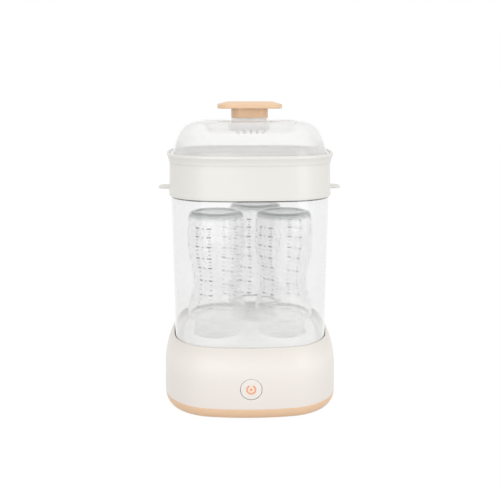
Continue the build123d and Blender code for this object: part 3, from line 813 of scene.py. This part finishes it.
# %% Bottle rack
bottle_nodes = ("bottle_left", "bottle_right", "bottle_rear")
bottle_places = {}
for node in bottle_nodes:
    low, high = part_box(node)
    bottle_places[node] = (round((low.x + high.x) / 2, 4), round((low.y + high.y) / 2, 4))
rack_half, rack_plate, rack_skirt = round(rack_high.x, 4), 2.4 * mm, 2.2 * mm
rack_open, plate_level = 44 * mm, mouth_level - rack_plate
rack_inner = rack_half - rack_skirt
tray = Profile(rack_open, mouth_level).line(
    (rack_half, mouth_level, 0.7 * mm), (rack_half, rack_low.z), (rack_inner, rack_low.z),
    (rack_inner, plate_level), (rack_open, plate_level))
rack = sweep("bottle_rack_smooth", rack_half, tray)
cap(rack, rack_open, mouth_level, plate_level)
tidy(rack)


def span(piece, edge):
    """The run from one end of an edge to the other."""
    first, second = (piece.data.vertices[v].co for v in edge.vertices)
    return second - first


def block(size, at, soft=0.0):
    """A bar at a place, its upright edges rounded."""
    deselect()
    bpy.ops.mesh.primitive_cube_add(size=1, location=at, scale=size)
    bpy.ops.object.transform_apply()
    bar = bpy.context.object
    if soft:
        select_edges(bar, {e.index for e in bar.data.edges if span(bar, e).xy.length < soft / 9})
        bpy.ops.mesh.bevel(offset=soft, segments=6, affect="EDGES")
        leave_edit()
    return bar


def cut_slots(piece, size, soft, places):
    slots = [block(size, at, soft) for at in places]
    combine(piece, join("slots", *slots), "DIFFERENCE")


notch, notch_height = 70 * mm, 2 * (plate_level - rack_low.z)
for size in ((notch, 3 * rack_half, notch_height), (3 * rack_half, notch, notch_height)):
    combine(rack, block(size, (0, 0, rack_low.z)), "DIFFERENCE")
socket_bore, socket_wall, socket_height = 26.6 * mm, 1.8 * mm, 5 * mm
steam_radius = 17 * mm
drill(rack, steam_radius, rack_low.z, mouth_level + 1 * mm, bottle_places.values(), 64)
drain_size, drain_round = (9 * mm, 3.6 * mm, 8 * mm), 1.79 * mm
drain_places = ((0, -60), (-46, 44), (58, 44), (-6, -2))
cut_slots(rack, drain_size, drain_round,
          [(x * mm, y * mm, mouth_level) for x, y in drain_places])
socket_outer, socket_round = socket_bore + socket_wall, 0.5 * mm
socket_top, socket_root = mouth_level + socket_height, mouth_level - 0.2 * mm
for x, y in bottle_places.values():
    collar = Profile(socket_outer, socket_root).line(
        (socket_outer, socket_top, socket_round), (socket_bore, socket_top, socket_round),
        (socket_bore, socket_root))
    combine(rack, place(ring("socket", socket_bore, collar, steps=16), x, y), "UNION")
smooth(rack)
dress(rack, rack_white, "rack", "rack", "bottle_rack")

# %% [markdown]
# A feeding bottle is turned round one axis, so a single line gives its whole shape: neck,
# collar, bulge, waist, belly and the dimpled base. The same line, moved in by the wall's
# thickness, gives the inside. The bottles stand mouth down, as they do on the rack.

# %% Bottle body
neck_radius, collar_radius, collar_low, collar_high = 24.8 * mm, 26 * mm, 20.1 * mm, 22.5 * mm
bulge, waist, belly = Vector((33.2, 29)) * mm, Vector((25.9, 64.5)) * mm, Vector((32, 111)) * mm
shoulder_in, shoulder_out = (bulge + waist) / 2, (belly + waist) / 2
foot_in, bottle_height, bottle_edge = 30.5 * mm, bottle_top - mouth_level, 5 * mm
dimple_radius, dimple_depth, dimple_round, pole = 22 * mm, 1.2 * mm, 0.8 * mm, 2 * mm
dimple_floor, mouth_round = bottle_height - dimple_depth, 0.4 * mm
form = Profile(collar_radius, collar_high).arc(*bulge, arriving=(0, 1), steps=10)
form.arc(*shoulder_in, (0, 1)).arc(*waist, arriving=(0, 1))
form.arc(*shoulder_out, (0, 1), 14).arc(*belly, arriving=(0, 1), steps=14)
form.arc(foot_in, bottle_height - bottle_edge, (0, 1), 8)
form.arc(foot_in - bottle_edge, bottle_height, steps=8)
form.line((dimple_radius, bottle_height, dimple_round),
          (dimple_radius - dimple_depth, dimple_floor, dimple_round), (pole, dimple_floor))
inner = [p for p in form.inside(bottle_wall) if p.y > collar_high]
neck_bore = neck_radius - bottle_wall
glass = Profile(pole, inner[-1].y).line(
    *reversed(inner), (neck_bore, collar_high), (neck_bore, mouth_round),
    (neck_bore + mouth_round, 0), (neck_radius - mouth_round, 0), (neck_radius, mouth_round),
    (neck_radius, collar_low), (collar_radius, collar_low, 0.3 * mm), *form.points)
bottle = ring("bottle", neck_radius, glass, closed=False)
cap(bottle, pole, dimple_floor, inner[-1].y)
tidy(bottle)

# %% [markdown]
# The neck carries a coarse thread for the teat's ring: a small bead, turned up a helix by
# a Screw modifier.

# %% Neck thread
thread_turns, thread_pitch, thread_steps = 2.25, 5.2 * mm, 140
bead_radius, thread_start, speck = 0.95 * mm, 4.6 * mm, 0.001 * mm
deselect()
bpy.ops.mesh.primitive_circle_add(vertices=10, radius=bead_radius, fill_type="NOTHING",
                                  rotation=forward, location=(neck_radius, 0, thread_start))
bpy.ops.object.transform_apply()
thread = bpy.context.object
apply_modifier(thread, "SCREW", angle=2 * math.pi * thread_turns,
               screw_offset=thread_pitch * thread_turns, steps=thread_steps,
               render_steps=thread_steps, use_normal_calculate=True)
edit_all(thread)
bpy.ops.mesh.select_non_manifold()
bpy.ops.mesh.fill_holes(sides=0)
leave_edit()
combine(bottle, tidy(thread), "UNION")
edit_all(bottle)
bpy.ops.mesh.dissolve_degenerate(threshold=speck)
leave_edit()
smooth(bottle)
print("bottle", len(bottle.data.polygons), "faces, height", round(bottle_height, 4))

# %% Bottles on the rack
def duplicate(piece, name):
    pick(piece)
    bpy.ops.object.duplicate()
    copy = bpy.context.object
    copy.name = copy.data.name = name
    return copy


bottle_turns = {"bottle_left": 20, "bottle_right": 75, "bottle_rear": 140}
for node, (x, y) in bottle_places.items():
    copy = duplicate(bottle, node + "_smooth")
    place(copy, x, y, mouth_level, (0, 0, math.radians(bottle_turns[node])))
    dress(copy, bottle_clear, "bottle", node, node)
bpy.data.objects.remove(bottle)

# %% [markdown]
# Each bottle carries a printed scale of plain marks and numbers, and the two front ones
# have a paler one on the far side, which shows through the wall. The scale is drawn flat
# once. Each copy is then wrapped round the bottle: a point's height above the drawing
# becomes its height off the wall. The bottle is upside down, and so are the numbers.

# %% Printed scales
ink = Finish("scale_ink", (54, 56, 58), 0.5)
ink.tint(ink.noise(900, 2) * 0.5, (78, 80, 82))
numbers = range(30, 241, 30)
major_levels = [130.3, 121, 110, 97, 85.8, 71, 54.5, 41.5]
ink_height, number_size = 0.1 * mm, 2.6 * mm
long_mark, short_mark = (5.0 * mm, 1.5 * mm, ink_height), (2.4 * mm, 0.8 * mm, ink_height)
long_place, short_place, half_ink = 7.3 * mm, 7.7 * mm, ink_height / 2
bars = []
for i, level in enumerate(major_levels):
    below = major_levels[min(i + 1, len(major_levels) - 1)]
    for side in (-1, 1):
        bars.append(block(long_mark, (side * long_place, level * mm, half_ink)))
        for part in (1 / 3, 2 / 3) if below < level else ():
            between = (level + (below - level) * part) * mm
            bars.append(block(short_mark, (side * short_place, between, half_ink)))
ticks = join("ticks", *bars)
select_edges(ticks, {e.index for e in ticks.data.edges if abs(span(ticks, e).x) > 2 * mm})
bpy.ops.mesh.subdivide(number_cuts=4)
leave_edit()
marks = [ticks]
for level, number in zip(major_levels, numbers):
    deselect()
    bpy.ops.object.text_add(location=(0, level * mm, half_ink), rotation=(0, 0, math.pi))
    text = bpy.context.object
    text.data.body, text.data.size, text.data.extrude = str(number), number_size, half_ink
    text.data.align_x, text.data.align_y = "CENTER", "CENTER"
    bpy.ops.object.convert(target="MESH")
    bpy.ops.object.transform_apply()
    marks.append(bpy.context.object)
flat_scale = join("flat_scale", *marks)
edit_all(flat_scale)
bpy.ops.mesh.remove_doubles(threshold=speck)
leave_edit()


def press_on(drawing, form, around, turn):
    """Wraps a flat drawing on a turned form; its height is kept as height off the wall."""
    for vertex in drawing.data.vertices:
        across, level, height = vertex.co
        over = next(i for i, p in enumerate(form.points) if p.y > level)
        low, high = form.points[over - 1], form.points[over]
        radius = low.x + (high.x - low.x) * (level - low.y) / (high.y - low.y) + height
        angle = across / belly.x + turn
        x, y = around[0] + radius * math.sin(angle), around[1] - radius * math.cos(angle)
        vertex.co = (x, y, mouth_level + level)


far_ink = Finish("far_scale_ink", (164, 166, 168), 0.5)
far_ink.tint(far_ink.noise(900, 2) * 0.5, (182, 184, 186))
scales = [("bottle_left", "scale", -25.6, ink), ("bottle_right", "scale", -44, ink),
          ("bottle_rear", "scale", -28, ink),
          ("bottle_left", "far_scale", 150, far_ink), ("bottle_right", "far_scale", 150, far_ink)]
for node, name, turn, finish in scales:
    scale = duplicate(flat_scale, f"{node}_{name}")
    press_on(scale, form, bottle_places[node], math.radians(turn))
    dress(scale, finish, "bottle", node)
bpy.data.objects.remove(flat_scale)
print(len(scales), "scales with", len(numbers), "numbers each")


# %% [markdown]
# The basket sits on the chamber's top edge. From below: a skirt hangs outside the chamber,
# a small step marks the foot of the wall, and above a second step the top flares into a
# rim with a ledge for the lid. The floor is slotted, and a tab on each side gives the
# fingers a hold.

# %% Basket
skirt_low, basket_rim, floor_level = basket_low.z, basket_high.z, chamber_top
skirt_inner, skirt_outer = chamber_head + lift_gap, chamber_head + lift_gap + 1.2 * mm
wall_foot = skirt_outer - 0.3 * mm
wall_head = wall_foot - 1.1 * mm
flare_low, flare_high = basket_rim - 9.8 * mm, basket_rim - 2.8 * mm
flange_step, flange_half = 1 * mm, wall_head + 3 * mm
inner_half = wall_head - basket_wall
ledge_half, ledge_level = inner_half + 2.1 * mm, basket_rim - 2.5 * mm
lip_high, floor_thick, basket_open = skirt_low + 4.8 * mm, 2.5 * mm, 60 * mm
floor_face, bevel, step_face = floor_level + floor_thick, 0.3 * mm, wall_head + flange_step
wall = Profile(basket_open, floor_level).line(
    (skirt_inner, floor_level), (skirt_inner, skirt_low + bevel),
    (skirt_inner + bevel, skirt_low), (skirt_outer, skirt_low, 0.5 * mm),
    (skirt_outer, lip_high, 0.2 * mm), (wall_foot, lip_high + bevel), (wall_head, flare_low),
    (step_face, flare_low, 0.35 * mm), towards=(step_face, flare_high))
wall.arc(flange_half, flare_high, (0, 1), 8).line(
    (flange_half, flare_high + 0.2 * mm), (flange_half, basket_rim, 0.9 * mm),
    (ledge_half, basket_rim, 0.5 * mm), (ledge_half, ledge_level),
    (inner_half, ledge_level, 0.5 * mm), (inner_half, flare_low),
    (wall_foot - basket_wall, floor_face, 2 * mm), (basket_open, floor_face))
basket = sweep("basket_smooth", base_half, wall, steps=24)
cap(basket, basket_open, floor_level, floor_face)
tidy(basket)
slot_columns, slot_rows, column_pitch, row_pitch = 4, 13, 34 * mm, 10 * mm
slot_size, slot_round = (26 * mm, 3.6 * mm, 4 * floor_thick), 1.2 * mm
slot_places = [((column - (slot_columns - 1) / 2) * column_pitch,
                (row - (slot_rows - 1) / 2) * row_pitch, floor_level)
               for column in range(slot_columns) for row in range(slot_rows)]
cut_slots(basket, slot_size, slot_round, slot_places)
print("basket wall", round(wall_head, 4), "slots", len(slot_places))

# %% Side tabs
tab_low, tab_thick, tab_width, tab_corner = floor_level + 0.6 * mm, 2.4 * mm, 26 * mm, 8 * mm
tab_root, tab_tip = skirt_outer - 1.5 * mm, basket_high.x
tab_size, tab_round = (tab_tip - tab_root, tab_width, tab_thick), 0.7 * mm
for side in (-1, 1):
    tab = block(tab_size, (side * (tab_root + tab_tip) / 2, 0, tab_low + tab_thick / 2))
    select_where(tab, lambda co: co.x * side > tab_tip - 1 * mm)
    bpy.ops.mesh.select_mode(type="EDGE")
    leave_edit()
    tips = {e.index for e in tab.data.edges if e.select and abs(span(tab, e).z) > tab_thick / 2}
    select_edges(tab, tips)
    bpy.ops.mesh.bevel(offset=tab_corner, segments=10, affect="EDGES")
    leave_edit()
    apply_modifier(tab, "BEVEL", width=tab_round, segments=3, limit_method="ANGLE",
                   angle_limit=math.radians(60))
    combine(basket, tab, "UNION")
smooth(basket)
dress(basket, basket_white, "basket", "basket", "basket")

# %% [markdown]
# The lid is the hardest form here: a domed wall on a flange, a flat crest, a dish sunk in
# the crest, and a hollow boss that rises from the dish to carry the knob. The outside is
# built as one skin from three sweeps whose open edges are bridged. Solidify then gives the
# wall, and the flange is pulled out of it, as a tool would form it.

# %% Lid skin
lid_half = round(lid_high.x, 4) - 2.9 * mm
lid_ledge, flange_thick = ledge_level, 2 * mm
crest_level = lid_high.z - 2.8 * mm
dish_half, dish_depth, dish_round = lid_half - 33.3 * mm, 10.6 * mm, 2.6 * mm
dish_level = crest_level - dish_depth
dish_foot = dish_half - dish_depth * math.tan(math.radians(27))
roof_half = dish_half + dish_round
roof_edge, dish_open, boss_open, boss_hole = roof_half - 0.6 * mm, 31 * mm, 29 * mm, 15 * mm
shoulder = Vector((lid_half - 8.5 * mm, lid_ledge + 26 * mm))
dome = Profile(lid_half, lid_low.z)
dome.line((lid_half, lid_ledge), (lid_half, lid_ledge + flange_thick))
dome.arc(*shoulder, (-0.1, 1), 16)
dome.arc(lid_half - 21.5 * mm, lid_ledge + 35.2 * mm, steps=12)
dome.arc(roof_half, crest_level, steps=6)
lid = sweep("lid_smooth", base_half, dome, steps=24)
dish = Profile(roof_edge, crest_level).line(
    (dish_half, crest_level, dish_round, 7), (dish_foot, dish_level, dish_round, 7),
    (dish_open, dish_level))
dish_skin = sweep("dish", dish_half, dish, steps=24, centre=27 * mm)
boss_half, boss_top = 20.5 * mm, lid_high.z
boss_foot = boss_half + (boss_top - dish_level) * math.tan(math.radians(16))
cone = Profile(boss_open, dish_level).line(
    (boss_foot, dish_level, 2.4 * mm, 6), (boss_half, boss_top, 0.8 * mm), (boss_hole, boss_top))
boss_skin = sweep("boss", boss_half, cone, steps=24, centre=9 * mm, gap=0.6 * mm)
lid = join("lid_smooth", lid, dish_skin, boss_skin)
bridge(lid, (roof_half, crest_level), (roof_edge, crest_level))
bridge(lid, (dish_open, dish_level), (boss_open, dish_level))
cap(lid, boss_hole, boss_top)
tidy(lid)
print("lid skin", len(lid.data.polygons), "faces")

# %% Lid wall, flange and vents
apply_modifier(lid, "SOLIDIFY", thickness=lid_wall, offset=-1, use_even_offset=True)
pick(lid)
enter_edit()
bpy.ops.mesh.select_mode(type="FACE")
bpy.ops.mesh.select_all(action="DESELECT")
leave_edit()
for face in lid.data.polygons:
    outward = face.normal.dot(Vector((face.center.x, face.center.y, 0)).normalized()) > 0.5
    face.select = outward and lid_ledge < face.center.z < lid_ledge + flange_thick
pull = {"value": lid_high.x - lid_half, "use_even_offset": True}
enter_edit()
bpy.ops.mesh.extrude_region_shrink_fatten(TRANSFORM_OT_shrink_fatten=pull)
leave_edit()
knob_bore = 2.05 * mm
drill(lid, knob_bore, boss_top - 2 * lid_wall, boss_top + lid_wall, [(0, 0)], 24)
vent_count, vent_pitch, vent_tilt = 5, 6.6 * mm, math.radians(38)
vent_size, vent_round = (3.4 * mm, 4.8 * mm, 5 * lid_wall), 1.69 * mm
vents = []
for i in range(vent_count):
    vent, x = block(vent_size, (0, 0, 0), vent_round), (i - (vent_count - 1) / 2) * vent_pitch
    vents.append(place(vent, x, -shoulder.x, shoulder.y, (math.pi / 2 - vent_tilt, 0, 0)))
combine(lid, join("vents", *vents), "DIFFERENCE")
smooth(lid)
dress(lid, lid_clear, "clear", "lid", "lid")

# %% [markdown]
# The knob is a stem with a crowned plate. The plate's outline is rounder than the lid's,
# so it is swept on an outline of its own, and a boolean joins the two.

# %% Knob
knob_half, stem_half = round(knob_high.x, 4), boss_half
plate_low, plate_edge = knob_low.z + 10 * mm, knob_high.z - 2.8 * mm
plate_open, crown_open, stem_open = 24 * mm, 21.5 * mm, 11 * mm
crown_half, stem_top, bore_top = knob_half - 11 * mm, plate_low + 1 * mm, knob_low.z + 12.1 * mm
plate = Profile(plate_open, plate_low).line(
    (knob_half, plate_low, 1.0 * mm), (knob_half, plate_edge, 1.3 * mm, 6),
    (crown_half, knob_high.z, 9 * mm, 8), (crown_open, knob_high.z))
knob = sweep("knob_smooth", knob_half, plate, steps=24, centre=20 * mm, gap=1.2 * mm)
cap(knob, plate_open, plate_low)
cap(knob, crown_open, knob_high.z)
tidy(knob)
shaft = Profile(stem_open, knob_low.z).line(
    (stem_half, knob_low.z, 0.5 * mm), (stem_half, stem_top), (stem_open, stem_top))
stem = sweep("stem", stem_half, shaft, steps=24, centre=9 * mm, gap=0.6 * mm)
cap(stem, stem_open, knob_low.z, stem_top)
combine(knob, tidy(stem), "UNION")
drill(knob, knob_bore, knob_low.z - 1 * mm, bore_top, [(0, 0)], 24)
smooth(knob)
dress(knob, tan, "tan", "lid", "knob")


# %% [markdown]
# The stage is a wide pale floor in a white room. Seen by the camera, by glossy rays and
# through clear walls the floor is nearly white, while its diffuse part keeps the shadow.

# %% Floor
def seen(finish):
    """1 for rays that come from the camera, a gloss or a clear wall."""
    camera, gloss, through = (finish.node("LightPath", output=f"Is {kind} Ray")
                              for kind in ("Camera", "Glossy", "Transmission"))
    return (camera + gloss + through).math("MINIMUM", 1.0)


floor_finish = Finish("stage_white", (200, 199, 198), 0.9)
white = floor_finish.node("Emission", inputs={"Color": (1, 1, 1, 1), "Strength": 1.06})
matt = Value(floor_finish, floor_finish.shader.outputs[0])
shares = {0: seen(floor_finish) * 0.9, 1: matt, 2: white}
floor_finish.feed(floor_finish.output.inputs["Surface"],
                  floor_finish.node("MixShader", inputs=shares))
deselect()
bpy.ops.mesh.primitive_plane_add(size=8)
floor = bpy.context.object
floor.name = "floor"
paint(floor, floor_finish)

# %% [markdown]
# The white room gives nearly all of the light. Three soft lamps add the gradients: a key
# light low at the right, one at the front left and a weak one above. The camera stands in
# front, a little above the lid, and looks down.

# %% Light
room_light = 1.02
aim = Vector((0, 0, 0.16))
world = bpy.data.worlds.new("studio")
bpy.context.scene.world = world
world.use_nodes = True


class Room(Finish):
    """The same helpers on the world's nodes."""

    def __init__(self, world):
        self.tree = world.node_tree


room = Room(world)
background = world.node_tree.nodes["Background"]
room.feed(background.inputs["Color"], (1, 1, 1, 1))
room.feed(background.inputs["Strength"], room_light + seen(room) * (1 - room_light))


def softbox(name, at, size, power):
    """A square light that faces the middle of the product."""
    deselect()
    bpy.ops.object.light_add(type="AREA", location=at)
    lamp = bpy.context.object
    lamp.name, lamp.data.size, lamp.data.energy = name, size, power
    lamp.rotation_euler = (aim - Vector(at)).to_track_quat("-Z", "Y").to_euler()


softbox("key_light", (0.9, -0.9, 0.35), 0.6, 2.6)
softbox("front_light", (-0.5, -1.3, 0.2), 0.8, 4.2)
softbox("top_light", (0.1, 0.1, 1.4), 0.7, 0.3)

# %% Camera
left, away, high = 0.015, 0.7953, 0.3390
look_down, look_right = math.radians(12.26), math.atan(left / away)
deselect()
bpy.ops.object.camera_add(location=(-left, -away, high),
                          rotation=(math.pi / 2 - look_down, 0, -look_right))
camera = bpy.context.object
camera.data.lens, camera.data.sensor_width = 50.12, 36
camera.data.shift_x, camera.data.shift_y = 0.001, 0.0012
bpy.context.scene.camera = camera
bpy.context.scene.view_settings.view_transform = "Standard"
